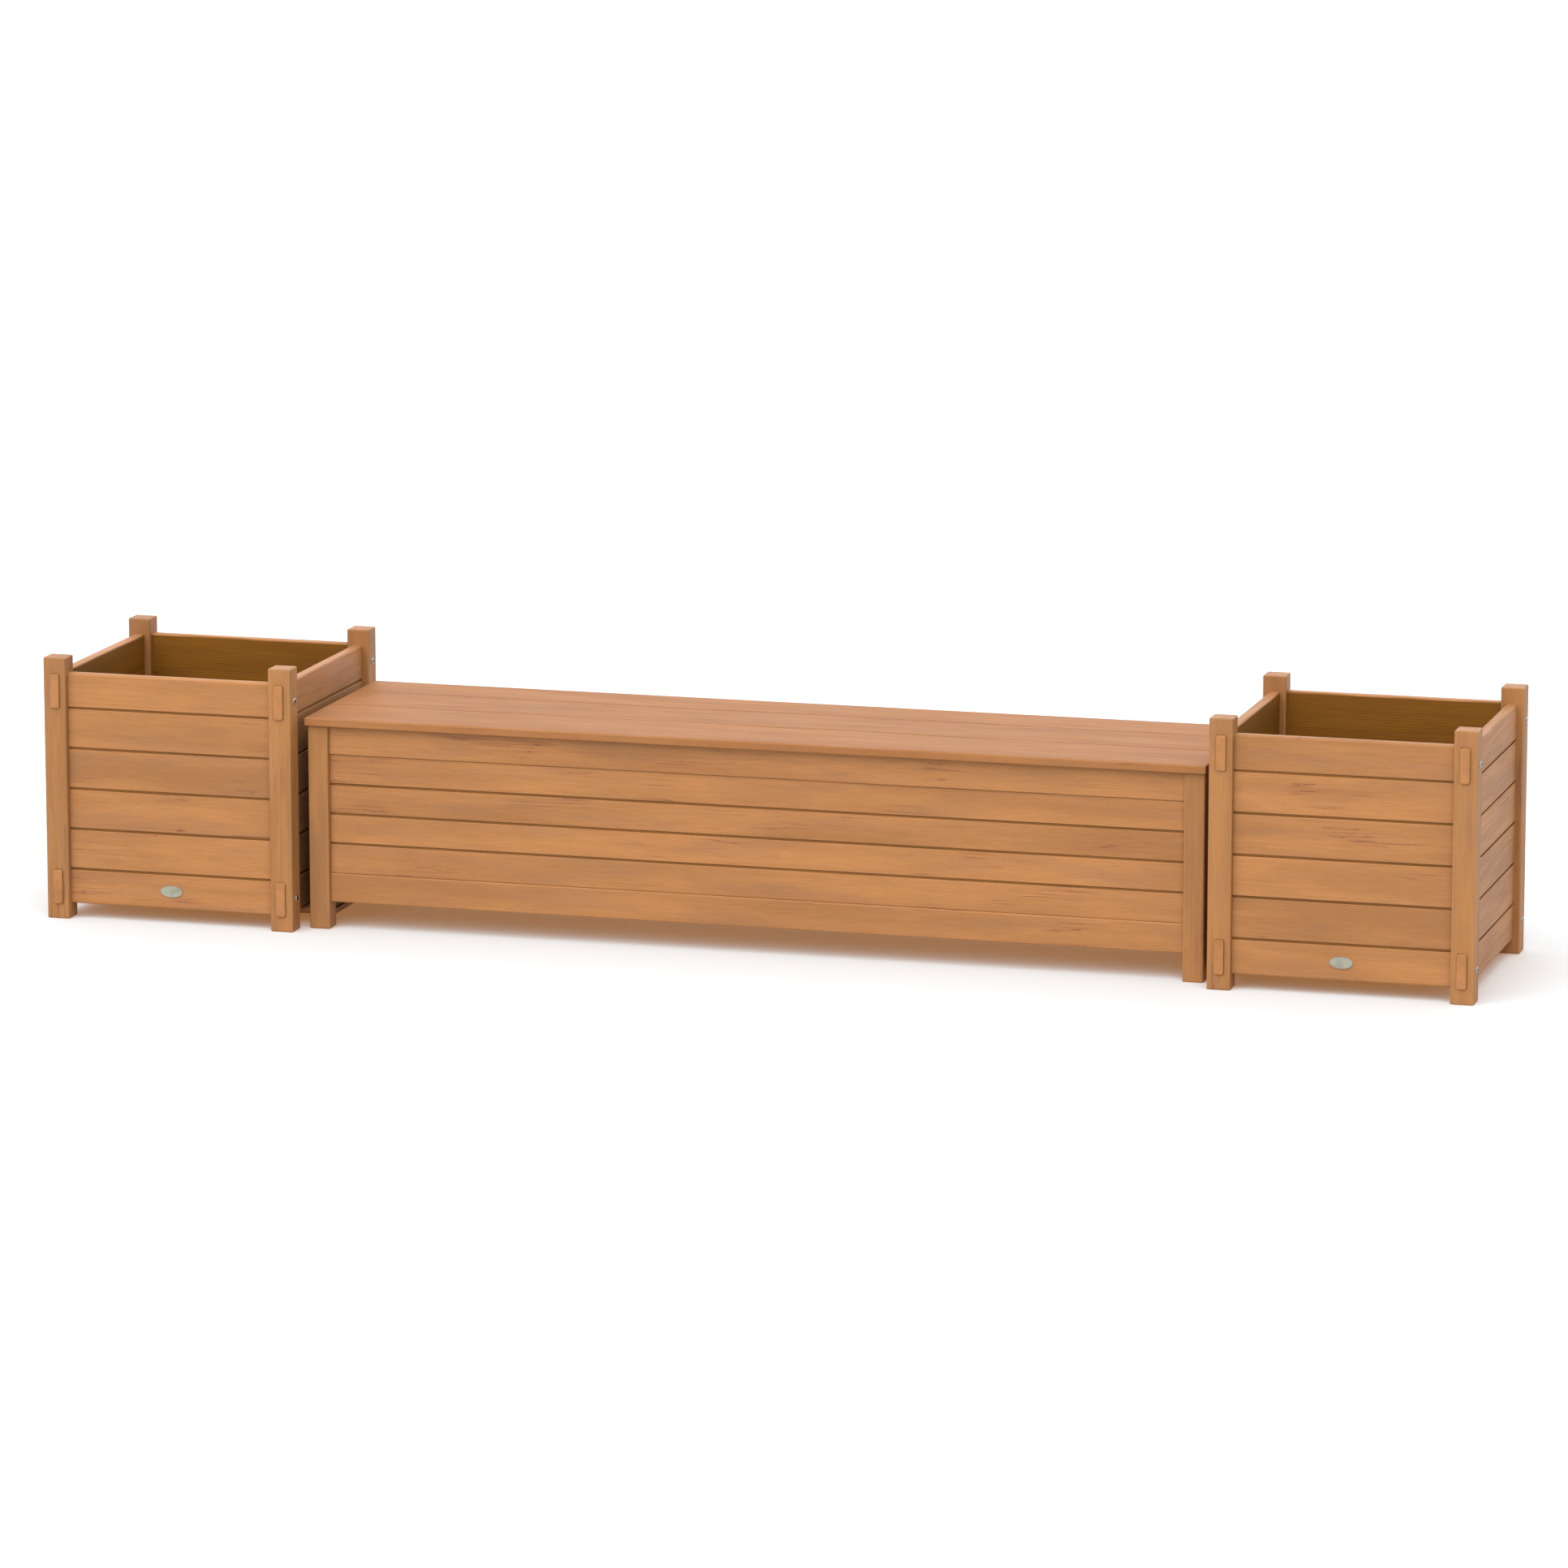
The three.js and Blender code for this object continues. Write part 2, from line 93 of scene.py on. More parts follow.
def setLight():
    world = bpy.data.worlds.new("studio")
    world.use_nodes = True
    background = world.node_tree.nodes["Background"]
    background.inputs["Color"].default_value = sky["colour"]
    background.inputs["Strength"].default_value = sky["strength"]
    scene.world = world
    for name, (strength, width, origin) in windows.items():
        data = bpy.data.lights.new(name, "SUN")
        data.energy = strength
        data.angle = math.radians(width)
        lamp = bpy.data.objects.new(name, data)
        lamp.rotation_euler = Vector(origin).to_track_quat("Z", "Y").to_euler()
        scene.collection.objects.link(lamp)
    scene.view_settings.view_transform = "Standard"


def layFloor():
    half = ground["size"] / 2
    corners = [(-half, -half), (half, -half), (half, half), (-half, half)]
    mesh = bpy.data.meshes.new("floor")
    mesh.from_pydata([(x, y, -ground["drop"]) for x, y in corners], [], [(0, 1, 2, 3)])
    floor = bpy.data.objects.new("floor", mesh)
    scene.collection.objects.link(floor)
    paint = bpy.data.materials.new("paleFloor")
    paint.use_nodes = True
    shader = paint.node_tree.nodes["Principled BSDF"]
    shader.inputs["Base Color"].default_value = ground["colour"]
    shader.inputs["Roughness"].default_value = ground["roughness"]
    shader.inputs["Specular IOR Level"].default_value = ground["shine"]
    # painted light: the floor glows warm, so the shadows on it are lighter and browner
    shader.inputs["Emission Color"].default_value = ground["glow"]
    shader.inputs["Emission Strength"].default_value = ground["glowStrength"]
    mesh.materials.append(paint)


setCamera()
setLight()
layFloor()
print("camera, light and floor set")

# Finishes

woods = {
    "boards": {
        "light": (0.343, 0.149, 0.0498),
        "deep": (0.263, 0.112, 0.0358),
        "grey": (0.238, 0.113, 0.0517),
        "rosy": (0.24, 0.0914, 0.0406),
        "crack": (0.119, 0.0372, 0.0181),
        "figure": 0.85,
        "cracks": 0.68,
        "roughness": 0.52,
        "shine": 0.2,
    },
    "posts": {
        "light": (0.315, 0.141, 0.0457),
        "deep": (0.243, 0.106, 0.0335),
        "grey": (0.222, 0.107, 0.0488),
        "rosy": (0.224, 0.0873, 0.0374),
        "crack": (0.11, 0.0364, 0.017),
        "figure": 0.85,
        "cracks": 0.64,
        "roughness": 0.52,
        "shine": 0.2,
    },
    "lid": {
        "light": (0.3, 0.129, 0.0457),
        "deep": (0.247, 0.102, 0.0358),
        "grey": (0.23, 0.105, 0.0486),
        "rosy": (0.233, 0.0903, 0.04),
        "crack": (0.146, 0.0522, 0.025),
        "figure": 0.8,
        "cracks": 0.4,
        "roughness": 0.54,
        "shine": 0.07,
    },
    "inner": {
        "light": (0.293, 0.129, 0.0328),
        "deep": (0.221, 0.0946, 0.0233),
        "grey": (0.2, 0.0955, 0.0336),
        "rosy": (0.203, 0.0786, 0.0266),
        "crack": (0.093, 0.0315, 0.0113),
        "figure": 1.1,
        "cracks": 0.4,
        "roughness": 0.6,
        "shine": 0.1,
    },
}
paintedInsideShade = (0.51, 0.44, 0.06)  # painted shade on inner faces and in joints: darker and yellower
grainNoise = {  # waves per metre along, across and through a board, then octaves and their roughness
    "bend": ((2.5, 9.0, 9.0), 2.0, 0.5),
    "figure": ((2.2, 15.0, 15.0), 3.0, 0.55),
    "cloud": ((4.6, 27.0, 27.0), 3.0, 0.5),
    "streak": ((5.0, 130.0, 130.0), 3.0, 0.6),
    "fibre": ((24.0, 620.0, 620.0), 2.0, 0.6),
    "pore": ((55.0, 1100.0, 1100.0), 1.0, 0.5),
    "vein": ((1.7, 68.0, 68.0), 3.0, 0.5),
    "patch": ((4.2, 16.0, 16.0), 1.0, 0.5),
    "jag": ((70.0, 120.0, 120.0), 2.0, 0.5),
}
grainShape = {
    "bend": (0.0, 0.007, 0.007),  # width over which the bend and the jag move the pattern
    "jag": (0.0, 0.0014, 0.0014),
    "cloudAside": (7.0, 0.4, 0.4),  # keeps the clouds apart from the figure
    "ring": 0.0058,  # from one growth ring to the next
    "ringBend": 9.0,  # radians by which the figure bends the rings
}
grainMix = {  # for each pattern its lower and upper level, and in some what it gives at the two
    "figure": (0.35, 0.68),
    "cloud": (0.46, 0.72, 0.0, 0.5),
    "streak": (0.48, 0.72, 0.0, 0.4),
    "ring": (0.1, 1.0),
    "patch": (0.53, 0.68),
    "crack": (0.0, 0.013, 1.0, 0.0),
    "halo": (0.0, 0.06, 1.0, 0.0),
    "pore": (0.6, 0.74),
    "fibre": (0.25, 0.75, 0.95, 1.07),
    "wear": (0.4, 0.6, 0.02, 0.09),
    "gloss": (0.3, 0.7),
}
grainShares = {
    "ring": 0.16,
    "halo": 0.55,
    "pore": -0.13,
    "tone": 0.05,
    "insideTone": -0.8,  # boards differ less on their inner faces
    "insideRing": -0.2,
    "insidePale": 0.09,
    "gloss": (-0.05, 0.09),  # added to the roughness
}
grainRelief = {"streak": 0.6, "fibre": 0.4, "crack": -0.8, "strength": 0.4, "depth": 0.0005}


def addNode(tree, kind, inputs=None, **settings):
    # A new node, with each input either linked to a socket or set to a value
    made = tree.nodes.new(kind)
    for name, value in settings.items():
        setattr(made, name, value)
    for name, value in (inputs or {}).items():
        if isinstance(value, bpy.types.NodeSocket):
            tree.links.new(value, made.inputs[name])
        else:
            made.inputs[name].default_value = value
    return made


def calc(tree, operation, first, second=0.5, third=0.0):
    inputs = {0: first, 1: second, 2: third}
    return addNode(tree, "ShaderNodeMath", inputs, operation=operation).outputs[0]


def vectorCalc(tree, operation, first, second):
    inputs = {0: first, 1: second}
    return addNode(tree, "ShaderNodeVectorMath", inputs, operation=operation).outputs[0]


def spread(tree, value, low, high, outLow=0.0, outHigh=1.0):
    # Smooth step of the value from low..high to outLow..outHigh
    inputs = {"Value": value, "From Min": low, "From Max": high, "To Min": outLow, "To Max": outHigh}
    made = addNode(tree, "ShaderNodeMapRange", inputs, interpolation_type="SMOOTHSTEP")
    return made.outputs[0]


def noiseAt(tree, place, scale, octaves, roughness):
    # Noise in a space that is stretched by the scale
    stretched = vectorCalc(tree, "MULTIPLY", place, scale)
    inputs = {"Vector": stretched, "Scale": 1.0, "Detail": octaves, "Roughness": roughness}
    return addNode(tree, "ShaderNodeTexNoise", inputs)


def grainValue(tree, place, name):
    return noiseAt(tree, place, *grainNoise[name]).outputs[0]


def pointValue(tree, name):
    return addNode(tree, "ShaderNodeAttribute", attribute_name=name).outputs["Fac"]


def shifted(tree, place, source, name):
    # The place, moved to and fro by a noise at the source, by up to half the pattern's move each way
    colour = noiseAt(tree, source, *grainNoise[name]).outputs["Color"]
    offset = vectorCalc(tree, "SUBTRACT", colour, (0.5, 0.5, 0.5))
    return vectorCalc(tree, "ADD", place, vectorCalc(tree, "MULTIPLY", offset, grainShape[name]))


def blended(tree, share, first, second, mode="MIX"):
    # Two colours mixed by a share, where each of the three is a socket or a value
    made = addNode(tree, "ShaderNodeMix", data_type="RGBA", blend_type=mode)
    for index, value in ((0, share), (6, first), (7, second)):
        if isinstance(value, bpy.types.NodeSocket):
            tree.links.new(value, made.inputs[index])
        elif index:
            made.inputs[index].default_value = (*value, 1.0)
        else:
            made.inputs[index].default_value = value
    return made.outputs[2]


def newMaterial(name):
    material = bpy.data.materials.new(name)
    material.use_nodes = True
    return material, material.node_tree, material.node_tree.nodes["Principled BSDF"]


def setGloss(tree, shader, pattern, roughness, change):
    # Roughness that follows a pattern, between its own value plus the two changes
    lowest, highest = roughness + change[0], roughness + change[1]
    gloss = spread(tree, pattern, *grainMix["gloss"], lowest, highest)
    tree.links.new(gloss, shader.inputs["Roughness"])


def setRelief(tree, shader, height, look):
    inputs = {"Height": height, "Strength": look["strength"], "Distance": look["depth"]}
    bump = addNode(tree, "ShaderNodeBump", inputs)
    tree.links.new(bump.outputs[0], shader.inputs["Normal"])


def ringPattern(tree, place, figure):
    # Growth rings: a smooth step of the sine of the distance from the tree's heart, bent by the figure
    across = vectorCalc(tree, "MULTIPLY", place, (0.0, 1.0, 1.0))
    far = addNode(tree, "ShaderNodeVectorMath", {0: across}, operation="LENGTH").outputs["Value"]
    turns = calc(tree, "MULTIPLY", far, 2 * math.pi / grainShape["ring"])
    turns = calc(tree, "MULTIPLY_ADD", figure, grainShape["ringBend"], turns)
    return spread(tree, calc(tree, "SINE", turns), *grainMix["ring"])


def veinPattern(tree, grain, place):
    # Veins and their haloes: lines where a jagged noise passes its middle, only inside some patches
    vein = grainValue(tree, shifted(tree, place, grain, "jag"), "vein")
    gap = calc(tree, "ABSOLUTE", calc(tree, "SUBTRACT", vein, 0.5))
    patch = spread(tree, grainValue(tree, place, "patch"), *grainMix["patch"])
    crack = calc(tree, "MULTIPLY", spread(tree, gap, *grainMix["crack"]), patch)
    halo = calc(tree, "MULTIPLY", spread(tree, gap, *grainMix["halo"]), patch)
    return crack, halo


def boardTone(tree, colour, value, ring, cloud):
    # Each board's own tone, paler worn edges, stronger growth rings on inner faces, and painted shade that
    # darkens and yellows inner faces and joints
    inside = pointValue(tree, "inside")
    calmer = calc(tree, "MULTIPLY_ADD", inside, grainShares["insideTone"], 1.0)
    tone = calc(tree, "MULTIPLY", pointValue(tree, "tone"), calmer)
    value = calc(tree, "MULTIPLY_ADD", tone, grainShares["tone"], value)
    wear = calc(tree, "MULTIPLY", pointValue(tree, "edge"), spread(tree, cloud, *grainMix["wear"]))
    value = calc(tree, "ADD", value, wear)
    # painted shade: inner faces and joints are darkened and yellowed by the inside tint
    colour = blended(tree, inside, colour, paintedInsideShade, "MULTIPLY")
    lines = calc(tree, "MULTIPLY_ADD", ring, grainShares["insideRing"], grainShares["insidePale"])
    value = calc(tree, "ADD", value, calc(tree, "MULTIPLY", inside, lines))
    return colour, value


def woodMaterial(name, look, ownGrain=True):
    # Stained wood. Its pattern lies in the board's own grain coordinates, with x along the grain and y and
    # z across it, or in object coordinates on a mesh that has none.
    material, tree, shader = newMaterial(name)
    if ownGrain:
        grain = addNode(tree, "ShaderNodeAttribute", attribute_name="grain").outputs["Vector"]
    else:
        grain = addNode(tree, "ShaderNodeTexCoord").outputs["Object"]
    place = shifted(tree, grain, grain, "bend")
    figure = grainValue(tree, place, "figure")
    cloud = grainValue(tree, vectorCalc(tree, "ADD", place, grainShape["cloudAside"]), "cloud")
    streak = grainValue(tree, place, "streak")
    fibre = grainValue(tree, place, "fibre")
    ring = ringPattern(tree, place, figure)
    crack, halo = veinPattern(tree, grain, place)
    if ownGrain:
        shown = calc(tree, "SUBTRACT", 1.0, pointValue(tree, "calm"))
        crack = calc(tree, "MULTIPLY", crack, shown)
        halo = calc(tree, "MULTIPLY", halo, shown)

    share = spread(tree, figure, *grainMix["figure"], 0.0, look["figure"])
    colour = blended(tree, share, look["light"], look["deep"])
    colour = blended(tree, spread(tree, cloud, *grainMix["cloud"]), colour, look["grey"])
    colour = blended(tree, spread(tree, streak, *grainMix["streak"]), colour, look["deep"])
    colour = blended(tree, calc(tree, "MULTIPLY", ring, grainShares["ring"]), colour, look["rosy"])
    share = calc(tree, "MULTIPLY", halo, grainShares["halo"] * look["cracks"])
    colour = blended(tree, share, colour, look["rosy"])
    colour = blended(tree, calc(tree, "MULTIPLY", crack, look["cracks"]), colour, look["crack"])
    pore = spread(tree, grainValue(tree, grain, "pore"), *grainMix["pore"])
    value = spread(tree, fibre, *grainMix["fibre"])
    value = calc(tree, "MULTIPLY_ADD", pore, grainShares["pore"], value)
    if ownGrain:
        colour, value = boardTone(tree, colour, value, ring, cloud)
    tinted = addNode(tree, "ShaderNodeHueSaturation", {"Value": value, "Color": colour})
    tree.links.new(tinted.outputs[0], shader.inputs["Base Color"])
    shader.inputs["Specular IOR Level"].default_value = look["shine"]
    setGloss(tree, shader, streak, look["roughness"], grainShares["gloss"])

    height = calc(tree, "MULTIPLY", fibre, grainRelief["fibre"])
    height = calc(tree, "MULTIPLY_ADD", streak, grainRelief["streak"], height)
    height = calc(tree, "MULTIPLY_ADD", crack, grainRelief["crack"], height)
    setRelief(tree, shader, height, grainRelief)
    return material


metals = {
    "hinge": {
        "colour": (0.56, 0.57, 0.58),
        "roughness": 0.32,
        "brushed": (900.0, 12.0, 900.0),
        "metal": 1.0,
    },
    "bolt": {
        "colour": (0.42, 0.42, 0.41),
        "roughness": 0.3,
        "brushed": (180.0, 180.0, 180.0),
        "metal": 1.0,
    },
    "plate": {
        "colour": (0.27, 0.262, 0.205),
        "roughness": 0.45,
        "brushed": (40.0, 900.0, 900.0),
        "metal": 0.2,
    },
}
metalSurface = {
    "lines": (3.0, 0.6),  # octaves and roughness of the brush lines
    "blotches": ((60.0, 60.0, 60.0), 2.0, 0.5),  # waves per metre, then the same
    "blotch": (0.35, 0.7),
    "blotchDark": 0.8,
    "shadedSocket": (0.012, 0.011, 0.01),  # near-black painted shade inside a bolt's socket
    "gloss": (-0.06, 0.1),
    "strength": 0.15,
    "depth": 0.0001,
}


def metalMaterial(name, look):
    # Metal with fine brush lines or blotches in its colour, roughness and relief, and painted shade in a
    # socket
    material, tree, shader = newMaterial(name)
    place = addNode(tree, "ShaderNodeTexCoord").outputs["Object"]
    lines = noiseAt(tree, place, look["brushed"], *metalSurface["lines"]).outputs[0]
    dull = noiseAt(tree, place, *metalSurface["blotches"]).outputs[0]
    dark = tuple(metalSurface["blotchDark"] * part for part in look["colour"])
    colour = blended(tree, spread(tree, dull, *metalSurface["blotch"]), look["colour"], dark)
    # painted shade: a bolt's socket is coloured near-black
    colour = blended(tree, pointValue(tree, "shadedSocket"), colour, metalSurface["shadedSocket"])
    tree.links.new(colour, shader.inputs["Base Color"])
    shader.inputs["Metallic"].default_value = look["metal"]
    setGloss(tree, shader, lines, look["roughness"], metalSurface["gloss"])
    setRelief(tree, shader, lines, metalSurface)
    return material


materials = {name: woodMaterial(name + "Wood", look) for name, look in woods.items()}
materials["panel"] = woodMaterial("panelWood", woods["inner"], ownGrain=False)
for name, look in metals.items():
    materials[name] = metalMaterial(name + "Metal", look)
print("finishes made:", len(materials))

# Surfaces

axes = {  # directions along, across and through a board, right-handed
    "x": np.array([(1, 0, 0), (0, 1, 0), (0, 0, 1)], float),
    "y": np.array([(0, 1, 0), (-1, 0, 0), (0, 0, 1)], float),
    "z": np.array([(0, 0, 1), (1, 0, 0), (0, 1, 0)], float),
}
fine = {
    "arcSteps": 4,
    "smallArcSteps": 3,  # in the section of a jointed board
    "endSteps": 4,
    "cell": 0.016,  # longest step across a face
    "stride": 0.055,  # longest step along a board
    "cutStride": 1.0,  # and along a cutter, which needs none between its ends
    "near": 0.0006,  # from a rounded edge to the face's next point
    "wear": 0.00025,
    "wearWaves": (1.3, 3.1, 7.7),  # waves per metre
    "skin": 0.0006,  # depth of the points that count as a board's inner face
    "sharpAngle": 40.0,
}
grainPlace = {"along": 60.0, "sideways": 0.045, "heartNear": 0.05, "heartFar": 0.17}


def filleted(corners, radii, steps=fine["arcSteps"]):
    # Outline through a polygon's corners, anticlockwise. At each corner an arc starts radius*tan(turn/2)
    # before the corner and turns evenly about its centre. Straight runs get points at most a cell apart,
    # the first and the last close to the arcs. Gives points, outward normals, and 1 on arcs, 0 elsewhere.
    corners = np.asarray(corners, float)
    radii = np.broadcast_to(np.asarray(radii, float), (len(corners),))
    run = corners - np.roll(corners, 1, axis=0)
    run /= np.linalg.norm(run, axis=1, keepdims=True)
    onward = np.roll(run, -1, axis=0)
    turn = np.arctan2(run[:, 0] * onward[:, 1] - run[:, 1] * onward[:, 0], (run * onward).sum(1))
    start = corners - run * (radii * np.tan(np.abs(turn) / 2))[:, None]
    inward = np.stack([-run[:, 1], run[:, 0]], 1) * np.sign(turn)[:, None]
    centre = start + inward * radii[:, None]
    angle = turn[:, None] * np.linspace(0, 1, steps + 1)
    arm = -inward[:, None, :]
    cos, sin = np.cos(angle)[..., None], np.sin(angle)[..., None]
    arm = arm * cos + np.stack([-arm[..., 1], arm[..., 0]], -1) * sin
    arcs = centre[:, None] + arm * radii[:, None, None]
    outward = arm * np.sign(turn)[:, None, None]
    points, normals, edges = [], [], []
    for i in range(len(corners)):
        first, last = arcs[i, -1], arcs[(i + 1) % len(corners), 0]
        length = np.linalg.norm(last - first)
        near = min(fine["near"], length / 4)
        count = max(2, int(np.ceil(length / fine["cell"])) + 1)
        share = np.linspace(near, length - near, count)[:, None] / length
        points += [arcs[i], first + share * (last - first)]
        normals += [outward[i], np.repeat(outward[i, -1:], count, axis=0)]
        edges += [np.ones(steps + 1), np.zeros(count)]
    return np.concatenate(points), np.concatenate(normals), np.concatenate(edges)


def rectangle(width, height, radii):
    # Rectangle about the origin, with its corners rounded
    x, y = width / 2, height / 2
    return filleted([(-x, -y), (x, -y), (x, y), (-x, y)], radii)


def wander(along, size):
    # A slow random wave: the mean of three sines with random phases, times the size
    waves = np.array(fine["wearWaves"])
    phases = rng.uniform(0, 2 * np.pi, 3)
    return size * np.sin(2 * np.pi * waves * along[:, None] + phases).mean(1)


def ringFaces(rows, columns, flip=False):
    # Four-sided faces between a grid's neighbouring rings, and one face over each end; flip turns them over
    index = np.arange(rows * columns).reshape(rows, columns)
    after = np.roll(index, -1, axis=1)
    if flip:
        quads = [index[:-1], index[1:], after[1:], after[:-1]]
        ends = [index[0], index[-1, ::-1]]
    else:
        quads = [index[:-1], after[:-1], after[1:], index[1:]]
        ends = [index[0, ::-1], index[-1]]
    return np.stack(quads, -1).reshape(-1, 4).tolist() + [end.tolist() for end in ends]


def carried(outline, length, endRound, stride=fine["stride"]):
    # The outline carried along a straight path. Over the rounded ends it is drawn in by endRound*(1-sin a)
    # at endRound*(1-cos a) from the end, and its round edges are worn in by a slow wave.
    points, normals, edges = outline
    a = np.linspace(0, np.pi / 2, fine["endSteps"] + 1) if endRound else np.array([np.pi / 2])
    near = endRound * (1 - np.cos(a)) if endRound else np.zeros(1)
    count = max(2, int(np.ceil((length - 2 * endRound) / stride)) + 1)
    middle = np.linspace(endRound, length - endRound, count)[1:-1]
    if endRound:
        first, last = endRound + fine["near"], length - endRound - fine["near"]
        middle = np.concatenate([[first], middle, [last]])
    along = np.concatenate([near, middle, length - near[::-1]])
    inset = endRound * (1 - np.sin(a))
    inset = np.concatenate([inset, np.zeros(len(middle)), inset[::-1]])
    worn = np.abs(wander(along, fine["wear"]))[:, None] * np.clip(edges, 0, 1)
    ring = points[None] - normals[None] * (inset[:, None] + worn)[..., None]
    grid = np.concatenate([np.broadcast_to(along[:, None, None], ring.shape[:2] + (1,)), ring], -1)
    rows, columns = ring.shape[:2]
    return {"points": grid.reshape(-1, 3), "faces": ringFaces(rows, columns), "edge": np.tile(edges, rows)}


def grainSeat():
    # Where in the tree a board was sawn: a random place along the trunk, at a random distance from the
    # tree's heart. The board's tone is random too, from -1 to 1.
    side = rng.choice([-1.0, 1.0])
    heart = side * rng.uniform(grainPlace["heartNear"], grainPlace["heartFar"])
    shift = rng.uniform(-grainPlace["sideways"], grainPlace["sideways"])
    along = rng.uniform(0, grainPlace["along"])
    return {"shift": np.array([along, shift, heart]), "tone": rng.uniform(-1, 1)}


def placed(shell, axis, origin, seat, inward=None, calm=False):
    # Turns a shell's own along, across and through into the frame's coordinates. Points on the face that
    # looks along inward count as inside, and calm wood shows no veins.
    turn = axes[axis]
    shell["calm"] = np.full(len(shell["points"]), float(calm))
    shell["inside"] = np.zeros(len(shell["points"]))
    if inward is not None:
        reach = shell["points"][:, 1] * (turn[1] @ inward)
        shell["inside"] = (reach > reach.max() - fine["skin"]).astype(float)
    shell["world"] = shell["points"] @ turn + np.asarray(origin, float)
    shell["grain"] = shell["points"] + seat["shift"]
    shell["tone"] = np.full(len(shell["points"]), seat["tone"])
    return shell


pointData = ("grain", "tone", "edge", "inside", "calm")


def setAttributes(mesh, grain, tone, edge, inside, calm):
    # Writes the values of each point that the wood's material reads
    place = mesh.attributes.get("grain") or mesh.attributes.new("grain", "FLOAT_VECTOR", "POINT")
    place.data.foreach_set("vector", grain.astype(np.float32).ravel())
    for name, values in (("tone", tone), ("edge", edge), ("inside", inside), ("calm", calm)):
        kept = mesh.attributes.get(name) or mesh.attributes.new(name, "FLOAT", "POINT")
        kept.data.foreach_set("value", values.astype(np.float32))


def smoothed(piece):
    # Smooth shading that keeps flat faces flat and sharp edges sharp
    mesh = piece.data
    mesh.polygons.foreach_set("use_smooth", np.ones(len(mesh.polygons), bool))
    mesh.set_sharp_from_angle(angle=math.radians(fine["sharpAngle"]))
    weigh = piece.modifiers.new("flatFaces", "WEIGHTED_NORMAL")
    weigh.keep_sharp = True
    mesh.update()


def makePiece(name, shells, material, nodes=(), body="frame"):
    # One piece from one or more closed shells, in the place of the CAD nodes that are named
    start = 0
    points = []
    polygons = []
    for shell in shells:
        points.append(shell["world"])
        polygons += [[start + i for i in face] for face in shell["faces"]]
        start += len(shell["world"])
    mesh = bpy.data.meshes.new(name)
    mesh.from_pydata(np.concatenate(points).tolist(), [], polygons)
    if "grain" in shells[0]:
        setAttributes(mesh, *(np.concatenate([shell[key] for shell in shells]) for key in pointData))
    if "shadedSocket" in shells[0]:
        shadedSocket = mesh.attributes.new("shadedSocket", "FLOAT", "POINT")
        shadedSocket.data.foreach_set("value", shells[0]["shadedSocket"])
    mesh.materials.append(materials[material])
    piece = bpy.data.objects.new(name, mesh)
    scene.collection.objects.link(piece)
    smoothed(piece)
    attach(piece, body)
    if nodes:
        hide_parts(*nodes)
    return piece


def cutOut(piece, cutters, axis, origin, seat):
    # Cuts shapes out of a piece, and lays the grain on the cut mesh again
    tools = []
    for cutter in cutters:
        mesh = bpy.data.meshes.new("cutter")
        mesh.from_pydata(cutter["world"].tolist(), [], cutter["faces"])
        tool = bpy.data.objects.new("cutter", mesh)
        scene.collection.objects.link(tool)
        tools.append(tool)
        cut = piece.modifiers.new("cut", "BOOLEAN")
        cut.operation = "DIFFERENCE"
        cut.solver = "EXACT"
        cut.object = tool
    piece.modifiers.remove(piece.modifiers["flatFaces"])
    graph = bpy.context.evaluated_depsgraph_get()
    whole = piece.evaluated_get(graph)
    mesh = bpy.data.meshes.new_from_object(whole, preserve_all_data_layers=True, depsgraph=graph)
    piece.modifiers.clear()
    piece.data = mesh
    for tool in tools:
        bpy.data.objects.remove(tool)
    world = np.zeros(3 * len(mesh.vertices), np.float32)
    mesh.vertices.foreach_get("co", world)
    grain = (world.reshape(-1, 3) - np.asarray(origin, float)) @ axes[axis].T + seat["shift"]
    edge = np.zeros(len(mesh.vertices), np.float32)
    if "edge" in mesh.attributes:
        mesh.attributes["edge"].data.foreach_get("value", edge)
    none = np.zeros(len(grain))
    setAttributes(mesh, grain, np.full(len(grain), seat["tone"]), edge, none, none)
    smoothed(piece)


def boxOf(node):
    # The low and the high corner of a CAD node's box, and its middle
    low, high = (np.array(corner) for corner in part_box(node))
    return low, high, (low + high) / 2


def addBar(node, axis, look, material, body="frame"):
    # A rounded bar that fills a node's box: its section across the axis, drawn out along it
    low, high, middle = boxOf(node)
    size = np.abs(axes[axis] @ (high - low))
    outline = rectangle(size[1], size[2], look["round"])
    shell = carried(outline, size[0], look["endRound"])
    origin = middle - axes[axis][0] * size[0] / 2
    shell = placed(shell, axis, origin, grainSeat())
    makePiece(f"{node}_fine", [shell], material, [node], body)


def addPlank(node, outline, endRound, material, body="frame"):
    # A board along x with the given outline, in a node's box. Gives the piece, and where its grain lies.
    low, high, middle = boxOf(node)
    seat = grainSeat()
    origin = np.array([low[0], middle[1], middle[2]])
    shell = placed(carried(outline, high[0] - low[0], endRound), "x", origin, seat)
    piece = makePiece(f"{node}_fine", [shell], material, [node], body)
    return piece, origin, seat


# Boarded walls

